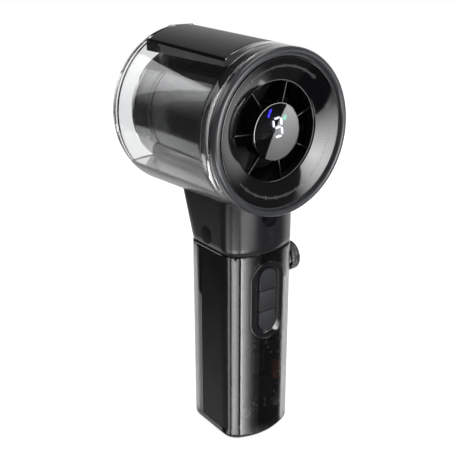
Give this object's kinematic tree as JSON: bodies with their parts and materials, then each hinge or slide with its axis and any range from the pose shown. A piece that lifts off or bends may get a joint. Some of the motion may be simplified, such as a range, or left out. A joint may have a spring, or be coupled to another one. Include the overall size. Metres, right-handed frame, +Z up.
{
  "type": "handheld spray blower",
  "caption": "Handheld electric blower with a clear water tank round its fan duct, a misting outlet, a lit display and an upright battery handle.",
  "frame": {"origin": "centre of the flat foot of the handle", "axes": "+Z up along the handle; the keys, the display and the air intake face -Y; the air leaves towards +Y; the speed knob is on the +X side"},
  "size_m": [0.0726, 0.0744, 0.1802],
  "materials": {
    "rim_black": "satin black",
    "cone_black": "piano black",
    "clear": "clear, glossy",
    "frosted": "translucent grey",
    "smoked": "smoked clear, glossy",
    "lens_black": "dark tinted, glossy",
    "satin_black": "satin black",
    "matte_black": "matte black",
    "duct_black": "gloss black",
    "key_grey": "charcoal, satin",
    "dark_rubber": "matte",
    "clear_rubber": "milky",
    "steel": "brushed",
    "bright_metal": "polished",
    "dark_metal": "dark anodised",
    "magnet": "coated",
    "laminations": "bare stack",
    "cell_wrap": "printed film, plain",
    "board_black": "coated circuit board",
    "chip_black": "moulded",
    "component_grey": "matt metal cans",
    "copper": "copper colour",
    "cotton": "white felt",
    "wire_red": "insulated",
    "lit_white": "lit digit",
    "lamp_black": "glossy window"
  },
  "bodies": {
    "housing": {"bezel_ring": "rim_black", "intake_cone": "cone_black", "collar_ring": "clear", "intake_grille": "duct_black", "display_housing": "matte_black", "display_board": "board_black", "display_segments": "lit_white", "display_lens": "lens_black", "tank_shell": "clear", "tank_end_cap": "clear", "filler_frame": "frosted", "lid_hinge_pin": "steel", "duct_tube": "duct_black", "motor_can": "dark_metal", "motor_bearings": "steel", "motor_stator": "laminations", "motor_mount": "matte_black", "outlet_grille": "duct_black", "outlet_ring": "bright_metal", "mist_housing": "satin_black", "mist_disc": "steel", "mist_seal": "clear_rubber", "mist_wick": "cotton", "wick_tube": "clear", "motor_leads": "wire_red", "belly_cover": "satin_black", "duct_saddle": "matte_black", "neck_shell": "satin_black", "case_screws": "steel", "neck_gasket": "dark_rubber", "neck_plugs": "matte_black", "indicator_lens": "lamp_black", "handle_shell": "smoked", "side_panels": "matte_black", "handle_deck": "matte_black", "base_cap": "matte_black", "key_bezel": "cone_black", "key_switches": "component_grey", "knob_collar": "bright_metal", "knob_encoder": "component_grey", "battery_cell": "cell_wrap", "battery_holder": "matte_black", "battery_tabs": "bright_metal", "main_board": "board_black", "board_chips": "chip_black", "board_inductors": "copper", "board_capacitors": "component_grey", "charge_port": "bright_metal", "port_board": "board_black"},
    "fan_rotor": {"impeller": "matte_black", "impeller_nut": "bright_metal", "motor_shaft": "steel", "motor_magnet": "magnet"},
    "lid": {"lid_cover": "satin_black", "lid_gasket": "clear_rubber"},
    "knob": {"knob_cap": "dark_metal", "knob_shaft": "steel"},
    "top_key": {"key_top": "key_grey"},
    "middle_key": {"key_middle": "key_grey"},
    "bottom_key": {"key_bottom": "key_grey"}
  },
  "joints": [
    {"name": "fan_spin", "type": "hinge", "parent": "housing", "child": "fan_rotor", "pos_m": [0, 0, 0.144], "axis": [0, 1, 0], "continuous": true},
    {"name": "lid_hinge", "type": "hinge", "parent": "housing", "child": "lid", "pos_m": [0, 0.0449, 0.17891], "axis": [-1, 0, 0], "range_deg": [0, 95]},
    {"name": "knob_turn", "type": "hinge", "parent": "housing", "child": "knob", "pos_m": [0.018, -0.0072, 0.0806], "axis": [1, 0, 0], "continuous": true},
    {"name": "top_key_press", "type": "slide", "parent": "housing", "child": "top_key", "axis": [0, 1, 0], "range_m": [0, 0.0006], "stiffness_N_per_m": 900, "springref_m": -0.0005},
    {"name": "middle_key_press", "type": "slide", "parent": "housing", "child": "middle_key", "axis": [0, 1, 0], "range_m": [0, 0.0006], "stiffness_N_per_m": 900, "springref_m": -0.0005},
    {"name": "bottom_key_press", "type": "slide", "parent": "housing", "child": "bottom_key", "axis": [0, 1, 0], "range_m": [0, 0.0006], "stiffness_N_per_m": 900, "springref_m": -0.0005}
  ]
}
